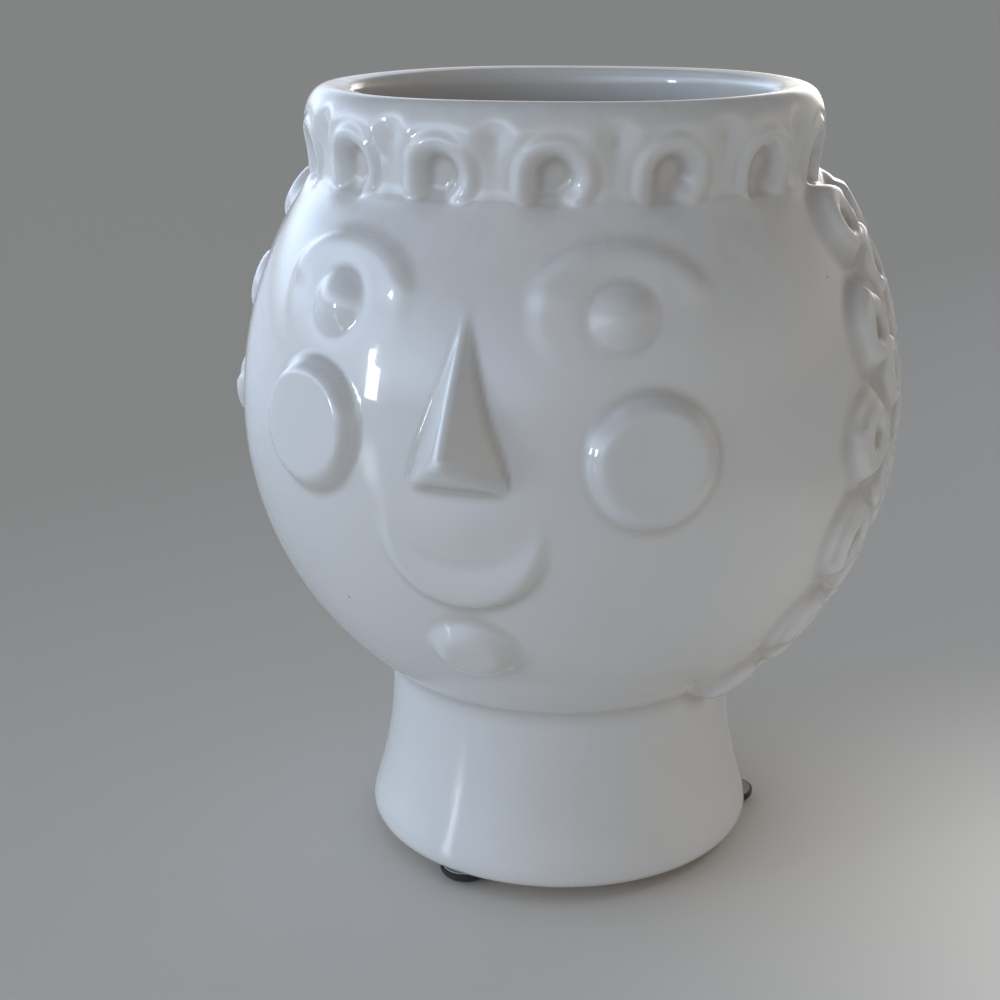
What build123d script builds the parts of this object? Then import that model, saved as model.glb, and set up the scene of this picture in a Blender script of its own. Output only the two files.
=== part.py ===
"""Head planter: a hollow glazed ceramic head on a flared pedestal, with an open collar and three rubber feet.

Millimetres, +Z up. The origin is the middle of the base, on the surface that the planter stands on.
The face looks along -Y. An azimuth is counted in degrees from the nose, towards +X.
"""
import os
from math import asin, atan, cos, radians, sin, sqrt

from build123d import *

# Rubber feet
FOOT_DIAMETER = 10.8
FOOT_HEIGHT = 2.7
FOOT_TREAD_DIAMETER = 5.0       # flat end of the dome, which stands on the table
FOOT_SIDE = 0.9                 # straight side above the dome
ADHESIVE_DIAMETER = 9.6
ADHESIVE_THICKNESS = 0.3
FEET = {                        # azimuth, and inset of the foot's axis from the edge of the base
    "front_foot": (-17.0, 6.0),
    "right_foot": (114.0, 2.3),
    "left_rear_foot": (-131.0, 4.0),
}

# Turned shape of the ceramic body
WALL = 6.0
NECK_RADIUS = 37.6
NECK_STRAIGHT = 5.5
NECK_ROUND = 2.0
PEDESTAL_FLARE = 29.6           # height of the flared part of the pedestal
PEDESTAL_SPREAD = 5.2           # how much wider than the neck the base is
BASE_EDGE = 3.4                 # from the underside to the widest point of the base
BASE_ROUND = 2.6
FOOT_RING_WIDTH = 13.0          # ring on the underside that carries the feet
BASE_RECESS = 2.5               # hollow of the underside inside the ring
HEAD_SWELL = 29.8               # how much wider than the neck the head is
JAW_HEIGHT = 57.5               # from the neck up to the widest point of the head
CROWN_HEIGHT = 48.5             # from the widest point up to the foot of the collar
COLLAR_TUCK = 16.0              # how far the foot of the collar lies inside the widest point
COLLAR_HEIGHT = 17.5
COLLAR_SPREAD = 1.8             # how much wider the collar is at the lip than at its foot
COLLAR_WALL = 8.4
COLLAR_ROUND = 3.0
LIP_SHOULDER = 5.0              # rounding of the lip's outer edge
LIP_ROUND = 2.2                 # rounding of its inner edge
CAVITY_ROUND = 6.0

# Face
RELIEF_ROOT = 3.0               # how far every raised form is rooted in the wall
NOSE_WIDTH = 20.4
NOSE_BASE_RISE = -0.7           # from the widest point of the head to the foot of the nose
NOSE_TOP_RISE = 38.5
NOSE_HEIGHT = 12.4
NOSE_TIP_RISE = 4.8             # tip of the nose above its foot
NOSE_ROUND = 1.4
CHEEK_AZIMUTH = 30.0
CHEEK_RISE = 4.8
CHEEK_DIAMETER = 26.0
CHEEK_HEIGHT = 3.6
CHEEK_ROUND = 3.0
EYE_AZIMUTH = 26.0
EYE_RISE = 29.8
EYE_DIAMETER = 10.2
EYE_HEIGHT = 2.6
BROW_WIDTH = 33.0
BROW_ARCH = 12.4                # crest of the brow above the middle of the eye
BROW_ENDS = 4.2                 # ends of the brow above the middle of the eye
BROW_DEPTH = 5.6
BROW_HEIGHT = 2.4
SMILE_WIDTH = 30.4
SMILE_RISE = -15.8
SMILE_CORNERS = 7.6
SMILE_UPPER = 0.4
SMILE_LOWER = -8.0
SMILE_HEIGHT = 2.8
CHIN_RISE = -35.2
CHIN_DIAMETER = 19.0
CHIN_HEIGHT = 4.2

# Collar ornament
SCROLL_COUNT = 15
COLLAR_TURN = 2.3               # azimuth of the gap between scrolls above the nose
FRIEZE_DEPTH = 1.3              # how far the ground between the scrolls lies under the plain collar
FRIEZE_FOOT = 1.5               # from the foot of the collar up to the sunk ground
FRIEZE_HEIGHT = 11.6
SCROLL_RISE = 5.0               # middle of a scroll above the foot of the collar
SCROLL_OUTER_TURN = 5.4         # radius of the outer half turn, at the middle of the roll
SCROLL_INNER_TURN = 3.4         # radius of the half turn that curls back in
SCROLL_STEM = 3.4               # straight start of the roll
SCROLL_ROLL = 1.6               # radius of the roll of clay, whose crest is level with the plain collar

# Hair, in staggered rows of round curls over the sides and the back
CURL_DIAMETER = 12.8            # where the head is widest
CURL_TAPER = 0.12               # how much smaller a curl is for each millimetre that its row is narrower
CURL_HEIGHT = 3.2
CURL_ROUND = 2.2
CURL_DIMPLE_DIAMETER = 5.2
CURL_DIMPLE_DEPTH = 2.2
CURLS_ROUND = 11                # in a full row, from one edge of the hair to the other, and one fewer between
HAIR_TOP = 9.5                  # from the foot of the collar down to the middle of the highest row
HAIR_FOOT = 6.5                 # from the neck up to the middle of the lowest row
HAIRLINE = (84.0, 81.5, 77.0, 76.0, 74.0, 69.5)     # azimuth of the first curl of each full row, from the collar
HAIR_SET_BACK = 5.5             # how much further back the hair starts on the left side

# Levels, radii and arcs that follow from the sizes above
base_z = FOOT_HEIGHT + ADHESIVE_THICKNESS
flare_z = base_z + BASE_EDGE
straight_z = flare_z + PEDESTAL_FLARE
neck_z = straight_z + NECK_STRAIGHT
head_z = neck_z + JAW_HEIGHT
collar_z = head_z + CROWN_HEIGHT
lip_z = collar_z + COLLAR_HEIGHT
floor_z = base_z + BASE_RECESS + WALL
base_radius = NECK_RADIUS + PEDESTAL_SPREAD
head_radius = NECK_RADIUS + HEAD_SWELL
collar_radius = head_radius - COLLAR_TUCK
lip_radius = collar_radius + COLLAR_SPREAD
mouth_radius = collar_radius - COLLAR_WALL
bore_radius = NECK_RADIUS - WALL
lip_wall = lip_radius - mouth_radius
frieze_top = FRIEZE_FOOT + FRIEZE_HEIGHT
lip_shoulder = min(LIP_SHOULDER, 0.55 * lip_wall)   # both edges of the lip are rounded, with a crest between
lip_round = min(LIP_ROUND, 0.4 * lip_wall)


def arc_radius(run, rise):
    """Radius of the arc that starts upright and moves sideways by run over a height of rise."""
    return (run**2 + rise**2) / (2 * run)


flare_arc = arc_radius(PEDESTAL_SPREAD, PEDESTAL_FLARE)
jaw_arc = arc_radius(HEAD_SWELL, JAW_HEIGHT)
crown_arc = arc_radius(COLLAR_TUCK, CROWN_HEIGHT)


def arc_at(z):
    """Radius of the head's own arc at a height: the jaw below its widest point, the crown above."""
    return crown_arc if z > head_z else jaw_arc


def skin_radius(z, proud=0.0):
    """Radius of the smooth head at a height, or of a skin that stands proud of it."""
    arc = arc_at(z)
    return head_radius - arc + sqrt((arc + proud) ** 2 - (z - head_z) ** 2)


def cavity_reach(arc, radius):
    """How far above or below the widest point the inner wall comes in to a radius."""
    return sqrt((arc - WALL) ** 2 - (radius - head_radius + arc) ** 2)


def pedestal_bore(z):
    """Radius of the hollow inside the flared pedestal at a height."""
    return NECK_RADIUS + flare_arc - sqrt((flare_arc + WALL) ** 2 - (straight_z - z) ** 2)


def outward_plane(azimuth, radius, z, lean):
    """Plane on the surface: X to the viewer's right, Y up, Z outward, leaning up by an angle in radians."""
    turn = radians(azimuth)
    out = (sin(turn) * cos(lean), -cos(turn) * cos(lean), sin(lean))
    spot = (radius * sin(turn), -radius * cos(turn), z)
    return Plane(origin=spot, x_dir=(cos(turn), sin(turn), 0), z_dir=out)


def head_plane(azimuth, z):
    """Plane that touches the smooth head."""
    return outward_plane(azimuth, skin_radius(z), z, asin((z - head_z) / arc_at(z)))


def collar_face(rise):
    """Radius of the plain collar at a height above its foot."""
    return collar_radius + COLLAR_SPREAD / COLLAR_HEIGHT * rise


def collar_plane(azimuth, rise, lift=0.0):
    """Plane that touches the flared collar at a height above its foot, or lies a lift outside it."""
    lean = -atan(COLLAR_SPREAD / COLLAR_HEIGHT)
    return outward_plane(azimuth, collar_face(rise), collar_z + rise, lean).offset(lift)


def button_stamp(diameter, height, edge_round, dimple_diameter=0.0, dimple_depth=0.0):
    """A round button on a root, with a rounded edge and, if asked, a hollow in the middle."""
    with BuildPart() as button:
        with BuildSketch(Plane.XZ) as half:
            with BuildLine():
                under = Line((0, -RELIEF_ROOT), (diameter / 2, -RELIEF_ROOT))
                side = Line(under @ 1, (diameter / 2, height))
                top = Line(side @ 1, (dimple_diameter / 2, height))
                if dimple_depth:
                    Line(top @ 1, (0, height - dimple_depth))
                Line((0, height - dimple_depth), under @ 0)
            make_face()
            fillet(half.vertices().sort_by_distance(side @ 1)[0], edge_round)
        revolve(axis=Axis.Z)
    return button.part


def dome_stamp(diameter, height):
    """A low round dome on a root."""
    with BuildPart() as dome:
        with BuildSketch(Plane.XZ):
            with BuildLine():
                under = Line((0, -RELIEF_ROOT), (diameter / 2, -RELIEF_ROOT))
                side = Line(under @ 1, (diameter / 2, 0))
                crown = TangentArc((0, height), side @ 1, tangent=(1, 0))
                Line(crown @ 0, under @ 0)
            make_face()
        revolve(axis=Axis.Z)
    return dome.part


def proud_skin(height, low, high):
    """Ring from within the wall to a skin that stands proud of the head, from one level up to another."""
    middle = (low + high) / 2
    with BuildPart() as ring:
        with BuildSketch(Plane.XZ):
            with BuildLine():
                outer = ThreePointArc(*[(skin_radius(z, height), z) for z in (low, middle, high)])
                inner = ThreePointArc(*[(skin_radius(z, -RELIEF_ROOT), z) for z in (low, middle, high)])
                Line(outer @ 0, inner @ 0)
                Line(outer @ 1, inner @ 1)
            make_face()
        revolve(axis=Axis.Z)
    return ring.part


# Round relief: the cheeks, the eyes and the chin
cheek = button_stamp(CHEEK_DIAMETER, CHEEK_HEIGHT, CHEEK_ROUND)
eye = dome_stamp(EYE_DIAMETER, EYE_HEIGHT)
chin = dome_stamp(CHIN_DIAMETER, CHIN_HEIGHT)

# Nose: a three-sided wedge from between the brows to a tip that stands out, rooted behind the skin
nose_foot_z = head_z + NOSE_BASE_RISE
nose_top_z = head_z + NOSE_TOP_RISE
nose_foot = Vector(0, -skin_radius(nose_foot_z), nose_foot_z)
nose_top = Vector(0, -skin_radius(nose_top_z), nose_top_z)
nose_length = (nose_top - nose_foot).length
nose_up = (nose_top - nose_foot).normalized()
nose_out = Vector(1, 0, 0).cross(nose_up)
nose_tip = nose_foot + nose_up * NOSE_TIP_RISE + nose_out * NOSE_HEIGHT
nose_reach = NOSE_HEIGHT + RELIEF_ROOT
nose_growth = nose_reach / NOSE_HEIGHT
with BuildPart() as nose:
    with BuildSketch(Plane(nose_tip - nose_out * nose_reach, x_dir=(1, 0, 0), z_dir=nose_out)) as nose_back:
        with BuildLine():
            Polyline(
                (-NOSE_WIDTH / 2 * nose_growth, -NOSE_TIP_RISE * nose_growth),
                (NOSE_WIDTH / 2 * nose_growth, -NOSE_TIP_RISE * nose_growth),
                (0, (nose_length - NOSE_TIP_RISE) * nose_growth),
                close=True,
            )
        make_face()
    nose_edges = loft(sections=[nose_back.sketch.face(), Vertex(*nose_tip)]).edges()
    fillet(nose_edges.filter_by(lambda edge: nose_tip in [v.center() for v in edge.vertices()]), NOSE_ROUND)

# Smile: a crescent between two arcs
smile_z = head_z + SMILE_RISE
smile_reach = SMILE_WIDTH / 2
smile_skin = proud_skin(SMILE_HEIGHT, smile_z - smile_reach, head_z)
with BuildPart() as smile:
    with BuildSketch(head_plane(0, smile_z)):
        with BuildLine():
            ThreePointArc((-smile_reach, SMILE_CORNERS), (0, SMILE_UPPER), (smile_reach, SMILE_CORNERS))
            ThreePointArc((-smile_reach, SMILE_CORNERS), (0, SMILE_LOWER), (smile_reach, SMILE_CORNERS))
        make_face()
    extrude(amount=smile_reach, both=True)
    add(smile_skin, mode=Mode.INTERSECT)

# Right brow: an arched band above the eye. The left one is its mirror image
eye_z = head_z + EYE_RISE
brow_reach = BROW_WIDTH / 2
brow_skin = proud_skin(BROW_HEIGHT, eye_z - brow_reach, collar_z)
with BuildPart() as brow:
    with BuildSketch(head_plane(EYE_AZIMUTH, eye_z)):
        with BuildLine():
            ThreePointArc((-brow_reach, BROW_ENDS), (0, BROW_ARCH), (brow_reach, BROW_ENDS))
            ThreePointArc((-brow_reach, BROW_ENDS), (0, BROW_ARCH - BROW_DEPTH), (brow_reach, BROW_ENDS))
        make_face()
    extrude(amount=brow_reach, both=True)
    add(brow_skin, mode=Mode.INTERSECT)

# Scroll: a roll of clay that rises on the left, turns over to the right and curls in on itself
with BuildPart() as scroll:
    with BuildLine() as roll:
        stem = Line((-SCROLL_OUTER_TURN, -SCROLL_STEM), (-SCROLL_OUTER_TURN, 0))
        over = TangentArc(stem @ 1, (SCROLL_OUTER_TURN, 0), tangent=(0, 1))
        TangentArc(over @ 1, (SCROLL_OUTER_TURN - 2 * SCROLL_INNER_TURN, 0), tangent=(0, -1))
    with BuildSketch(Plane(roll.line @ 0, z_dir=roll.line % 0)):
        Circle(SCROLL_ROLL)
    sweep(path=roll.line)
    with Locations(roll.line @ 0, roll.line @ 1):
        Sphere(SCROLL_ROLL)

scroll_turns = [COLLAR_TURN + 360 / SCROLL_COUNT * (i + 0.5) for i in range(SCROLL_COUNT)]

# Hair: the curl of each row and its places. Every other row is full, and the rows between are staggered
crown_length = crown_arc * asin(CROWN_HEIGHT / crown_arc) - HAIR_TOP
jaw_length = jaw_arc * asin(JAW_HEIGHT / jaw_arc) - HAIR_FOOT
row_step = (crown_length + jaw_length) / (2 * len(HAIRLINE) - 2)
hair = []
for row in range(2 * len(HAIRLINE) - 1):
    between = row % 2
    climb = crown_length - row * row_step
    arc = jaw_arc if climb < 0 else crown_arc
    row_z = head_z + arc * sin(climb / arc)
    first = (HAIRLINE[row // 2] + HAIRLINE[row // 2 + between]) / 2
    pitch = (360 - 2 * first - HAIR_SET_BACK) / (CURLS_ROUND - 1)
    places = [head_plane(first + pitch * (i + between / 2), row_z) for i in range(CURLS_ROUND - between)]
    size = CURL_DIAMETER - CURL_TAPER * (head_radius - skin_radius(row_z))
    dimple = CURL_DIMPLE_DIAMETER * size / CURL_DIAMETER
    hair.append((button_stamp(size, CURL_HEIGHT, CURL_ROUND, dimple, CURL_DIMPLE_DEPTH), places))

# Ceramic body: the turned shape with all its relief, then hollowed from the lip down into the pedestal
with BuildPart() as ceramic_body:
    with BuildSketch(Plane.XZ) as outside:
        with BuildLine():
            under = Line((0, base_z), (base_radius, base_z))
            edge = Line(under @ 1, (base_radius, flare_z))
            flare = TangentArc((NECK_RADIUS, straight_z), edge @ 1, tangent=(0, -1))
            neck = Line(flare @ 0, (NECK_RADIUS, neck_z))
            jaw = TangentArc((head_radius, head_z), neck @ 1, tangent=(0, -1))
            crown = TangentArc(jaw @ 0, (collar_radius, collar_z), tangent=(0, 1))
            collar = Line(crown @ 1, (lip_radius, lip_z))
            lip = Line(collar @ 1, (0, lip_z))
            Line(lip @ 1, under @ 0)
        make_face()
        fillet(outside.vertices().sort_by_distance(under @ 1)[0], BASE_ROUND)
        fillet(outside.vertices().sort_by_distance(neck @ 1)[0], NECK_ROUND)
        fillet(outside.vertices().sort_by_distance(crown @ 1)[0], COLLAR_ROUND)
        fillet(outside.vertices().sort_by_distance(collar @ 1)[0], lip_shoulder)
    revolve(axis=Axis.Z)

    add([nose.part, smile.part, brow.part])
    mirror(brow.part, about=Plane.YZ)
    with Locations(head_plane(0, head_z + CHIN_RISE)):
        add(chin)
    with Locations(*[head_plane(side * EYE_AZIMUTH, eye_z) for side in (-1, 1)]):
        add(eye)
    with Locations(*[head_plane(side * CHEEK_AZIMUTH, head_z + CHEEK_RISE) for side in (-1, 1)]):
        add(cheek)
    for curl, places in hair:
        with Locations(*places):
            add(curl)
    with BuildSketch(Plane.XZ):
        with BuildLine():
            Polyline(
                (collar_face(FRIEZE_FOOT), collar_z + FRIEZE_FOOT),
                (collar_face(FRIEZE_FOOT + FRIEZE_DEPTH) - FRIEZE_DEPTH, collar_z + FRIEZE_FOOT + FRIEZE_DEPTH),
                (collar_face(frieze_top - FRIEZE_DEPTH) - FRIEZE_DEPTH, collar_z + frieze_top - FRIEZE_DEPTH),
                (collar_face(frieze_top), collar_z + frieze_top),
                (collar_face(frieze_top) + FRIEZE_DEPTH, collar_z + frieze_top),
                (collar_face(FRIEZE_FOOT) + FRIEZE_DEPTH, collar_z + FRIEZE_FOOT),
                close=True,
            )
        make_face()
    revolve(axis=Axis.Z, mode=Mode.SUBTRACT)
    with Locations(*[collar_plane(turn, SCROLL_RISE, -SCROLL_ROLL) for turn in scroll_turns]):
        add(scroll.part)

    with BuildSketch(Plane.XZ) as cavity:
        with BuildLine():
            bottom = Line((0, floor_z), (pedestal_bore(floor_z), floor_z))
            pedestal = TangentArc((bore_radius, straight_z), bottom @ 1, tangent=(0, -1))
            bore = Line(pedestal @ 0, (bore_radius, head_z - cavity_reach(jaw_arc, bore_radius)))
            inner_jaw = TangentArc((head_radius - WALL, head_z), bore @ 1, tangent=(0, -1))
            mouth_z = head_z + cavity_reach(crown_arc, mouth_radius)
            inner_crown = TangentArc(inner_jaw @ 0, (mouth_radius, mouth_z), tangent=(0, 1))
            mouth = Line(inner_crown @ 1, (mouth_radius, lip_z - lip_round))
            inner_lip = TangentArc(mouth @ 1, (mouth_radius + lip_round, lip_z), tangent=(0, 1))
            opening = Line(inner_lip @ 1, (0, lip_z))
            Line(opening @ 1, bottom @ 0)
        make_face()
        fillet(cavity.vertices().sort_by_distance(bottom @ 1)[0], CAVITY_ROUND)
    revolve(axis=Axis.Z, mode=Mode.SUBTRACT)

    with BuildSketch(Plane.XY.offset(base_z)):
        Circle(base_radius - FOOT_RING_WIDTH)
    extrude(amount=BASE_RECESS, mode=Mode.SUBTRACT)

ceramic_body.part.label = "ceramic_body"
os.makedirs("parts", exist_ok=True)
export_step(ceramic_body.part, "parts/ceramic_body.step")

# Feet: domed rubber bumpers, each on its own disc of adhesive under the ring of the base
for name, (azimuth, inset) in FEET.items():
    axis_radius = base_radius - inset
    spot = (axis_radius * sin(radians(azimuth)), -axis_radius * cos(radians(azimuth)))

    with BuildPart() as foot:
        with BuildSketch(Plane(origin=(*spot, 0), x_dir=(1, 0, 0), z_dir=(0, -1, 0))):
            with BuildLine():
                tread = Line((0, 0), (FOOT_TREAD_DIAMETER / 2, 0))
                dome = TangentArc(tread @ 1, (FOOT_DIAMETER / 2, FOOT_HEIGHT - FOOT_SIDE), tangent=(1, 0))
                side = Line(dome @ 1, (FOOT_DIAMETER / 2, FOOT_HEIGHT))
                top = Line(side @ 1, (0, FOOT_HEIGHT))
                Line(top @ 1, tread @ 0)
            make_face()
        revolve(axis=Axis((*spot, 0), (0, 0, 1)))
    foot.part.label = name
    export_step(foot.part, f"parts/{name}.step")

    with BuildPart() as adhesive:
        with BuildSketch(Plane((*spot, FOOT_HEIGHT))):
            Circle(ADHESIVE_DIAMETER / 2)
        extrude(amount=ADHESIVE_THICKNESS)
    adhesive.part.label = f"{name}_adhesive"
    export_step(adhesive.part, f"parts/{name}_adhesive.step")
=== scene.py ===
"""Head planter in white glaze, on three rubber feet.

Sizes are in millimetres until a mesh is made, which is in metres. +Z is up and the face looks along -Y.
An azimuth is counted from the nose, towards +X.
"""
from math import cos, pi, radians, sin, sqrt

import bpy
import numpy as np
from mathutils import Matrix, Vector


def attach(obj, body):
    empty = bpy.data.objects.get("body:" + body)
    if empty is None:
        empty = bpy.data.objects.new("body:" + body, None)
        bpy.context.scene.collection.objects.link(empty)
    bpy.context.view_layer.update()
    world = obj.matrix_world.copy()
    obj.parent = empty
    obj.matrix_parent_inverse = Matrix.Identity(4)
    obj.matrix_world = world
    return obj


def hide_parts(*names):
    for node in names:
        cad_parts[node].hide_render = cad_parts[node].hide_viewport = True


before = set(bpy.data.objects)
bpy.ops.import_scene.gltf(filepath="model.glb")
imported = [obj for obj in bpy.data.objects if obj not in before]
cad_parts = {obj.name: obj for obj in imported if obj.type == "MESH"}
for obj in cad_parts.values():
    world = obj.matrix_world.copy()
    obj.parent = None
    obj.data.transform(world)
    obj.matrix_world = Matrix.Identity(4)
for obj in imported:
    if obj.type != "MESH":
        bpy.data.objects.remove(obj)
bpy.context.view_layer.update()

MM = 0.001

# Turned shape of the ceramic body
BASE_Z, BASE_RADIUS, BASE_ROUND = 3.0, 42.8, 2.6
FLARE_Z, NECK_STRAIGHT_Z, NECK_Z = 6.4, 36.0, 41.5
NECK_RADIUS, HEAD_RADIUS, HEAD_Z = 37.6, 67.4, 99.0
COLLAR_Z, COLLAR_RADIUS = 147.5, 51.4
LIP_Z, LIP_RADIUS, MOUTH_RADIUS, LIP_ROUND = 165.0, 52.9, 43.0, 1.8
LIP_SHOULDER, SHOULDER_TALL = 5.0, 7.0
WALL, RECESS_Z, RECESS_RADIUS = 6.0, 5.5, 29.8
FLOOR_Z, FLOOR_FLAT, FLOOR_CORNER, FLOOR_ROUND = 11.5, 26.0, 28.6, 6.0

# Softening of the turned outline: passes, how near a corner they work, and the waves left by the maker's hand
SOFT_PASSES, NECK_PASSES, COLLAR_SOFT, NECK_SOFT = 24, 8, 6.0, 4.0
BROAD_WAVE, FINE_WAVE, WAVES_FROM = 0.10, 0.06, 12.0

# Nose
NOSE_Z, NOSE_REACH, NOSE_LENGTH, NOSE_TAPER, NOSE_BOW = 98.0, 10.4, 41.5, 1.2, 3
NOSE_TIP_RISE, NOSE_TIP_HEIGHT, NOSE_TIP_ROUND = 6.8, 11.5, 2.2
NOSE_RIDGE, NOSE_FILLET, NOSE_ASIDE, NOSE_MARGIN = 0.5, 0.9, 16.0, 4.0

# Cheeks: azimuth, height of the middle and radius of the flat, left and right
CHEEKS = ((-28.5, 106.0, 9.7), (30.0, 103.8, 9.0))
CHEEK_RADIUS, CHEEK_HEIGHT, CHEEK_LEVEL, CHEEK_CURVE = 13.5, 2.6, 10.0, 3.2

# Brows, the plates under them and the eyes
BROW_TURN, BROW_Z, BROW_WIDE, BROW_TALL, BROW_MEAN = 26.0, 128.8, 16.0, 12.6, 14.0
BROW_HEIGHT, BROW_OUTSIDE, BROW_INSIDE, BROW_TIP, BROW_FULL = 0.75, 1.8, 4.0, 0.05, 0.5
PLATE_HEIGHT, PLATE_EDGE, PLATE_FADE = 1.0, (1.14, 0.88), (-12.0, 6.0)
EYE_RADIUS, EYE_HEIGHT, EYE_FULLNESS = 6.3, 1.8, 1.35
EYE_RING, EYE_RING_WIDTH, EYE_RING_DEPTH = 6.8, 1.2, 0.2

# Smile, its crease and the swell of the upper lip
SMILE_Z, SMILE_RISE, SMILE_RADIUS, SMILE_HEIGHT = 83.2, 7.2, 15.4, 2.7
SMILE_SWELL, SMILE_EDGE = (-3.0, 8.0), (-2.0, 1.6)
CREASE_RISE, CREASE_RADIUS, CREASE_DEPTH, CREASE_WIDTH = 20.0, 19.6, 0.1, 1.5
CREASE_ASIDE, CREASE_TOP = (15.5, 12.0), (9.0, 6.0)
SWELL_HEIGHT, SWELL_WIDE, SWELL_TALL, SWELL_RISE = 0.9, 12.0, 6.0, 8.0

# Chin, and the fillet between the nose and what it stands on
CHIN_TURN, CHIN_Z, CHIN_WIDE, CHIN_TALL, CHIN_HEIGHT, CHIN_EDGE = -0.5, 63.8, 9.9, 8.6, 3.1, (1.08, 0.45)
FACE_FILLET = 0.8

# Collar ornament
SCROLL_COUNT, COLLAR_TURN, SCROLL_RISE, POCKET_RISE = 15, 2.3, 4.6, 7.2
UNDER_START, UNDER_SWEEP, SCROLL_FULLNESS = 1.42, 0.58, 1.1
MELT_LOW, MELT_HIGH = COLLAR_Z - 5, COLLAR_Z + 3
VALLEY_POINTS, VALLEY_TOP, POCKET_EASE = 16, 0.66, 1.2

# Hair
CURLS_ROUND, CURL_TAPER, HAIR_TOP, HAIR_FOOT = 11, 0.0094, 9.5, 6.5
HAIRLINE, HAIR_SET_BACK = (84.0, 81.5, 77.0, 76.0, 74.0, 69.5), 5.5
CURL_TWIST, TWIST_INWARD, TWIST_DOWN = 126, 85, 30
MASS_EDGE, MASS_BELOW, MASS_ABOVE, MASS_FADE = (1.0, 6.0), 6.0, 6.5, 4.0
STRAND_FULLNESS, PAD_ROUND = 0.75, 0.4

# Glaze that pools, with painted shade: reach and strength of the brown in the scrolls' and curls' eyes, and strength
# of the painted shade on the slopes round the curls
SCROLL_EYE, SCROLL_POOL_AND_SHADE, CURL_EYE, CURL_POOL_AND_SHADE, BANK_SHADE = 5.2, 0.5, 3.2, 0.35, 1.3

# Columns of the body's mesh: close together over the face, wider apart at the back
FRONT_REACH, FRONT_COLUMNS, BACK_COLUMNS = 100.0, 300, 164


def arc_radius(narrow, wide, low, high):
    """Radius of an arc that is upright at one end of a span and reaches the other radius at its other end."""
    return ((wide - narrow) ** 2 + (high - low) ** 2) / (2 * (wide - narrow))


FLARE_ARC = arc_radius(NECK_RADIUS, BASE_RADIUS, FLARE_Z, NECK_STRAIGHT_Z)
JAW_ARC = arc_radius(NECK_RADIUS, HEAD_RADIUS, NECK_Z, HEAD_Z)
CROWN_ARC = arc_radius(COLLAR_RADIUS, HEAD_RADIUS, HEAD_Z, COLLAR_Z)


def climb(z):
    """Length along the head's outline from its widest point up to a height."""
    arc = np.where(np.asarray(z) > HEAD_Z, CROWN_ARC, JAW_ARC)
    return arc * np.arcsin(np.clip((np.asarray(z) - HEAD_Z) / arc, -1, 1))


def step(low, high, x):
    """Smooth rise from 0 at low to 1 at high."""
    t = np.clip((x - low) / (high - low), 0, 1)
    return t * t * (3 - 2 * t)


def hump(x, width):
    """Smooth hump: 1 in its middle, falling off over a width to both sides."""
    return np.exp(-((x / width) ** 2))


def soft_least(a, b, blend):
    """The lesser of two heights, with the crease between them rounded."""
    mix = np.clip(0.5 + 0.5 * (b - a) / blend, 0, 1)
    return b + (a - b) * mix - blend * mix * (1 - mix)


def soft_most(a, b, blend):
    """The greater of two heights, with the valley between them filled."""
    return -soft_least(-a, -b, blend)


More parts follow.
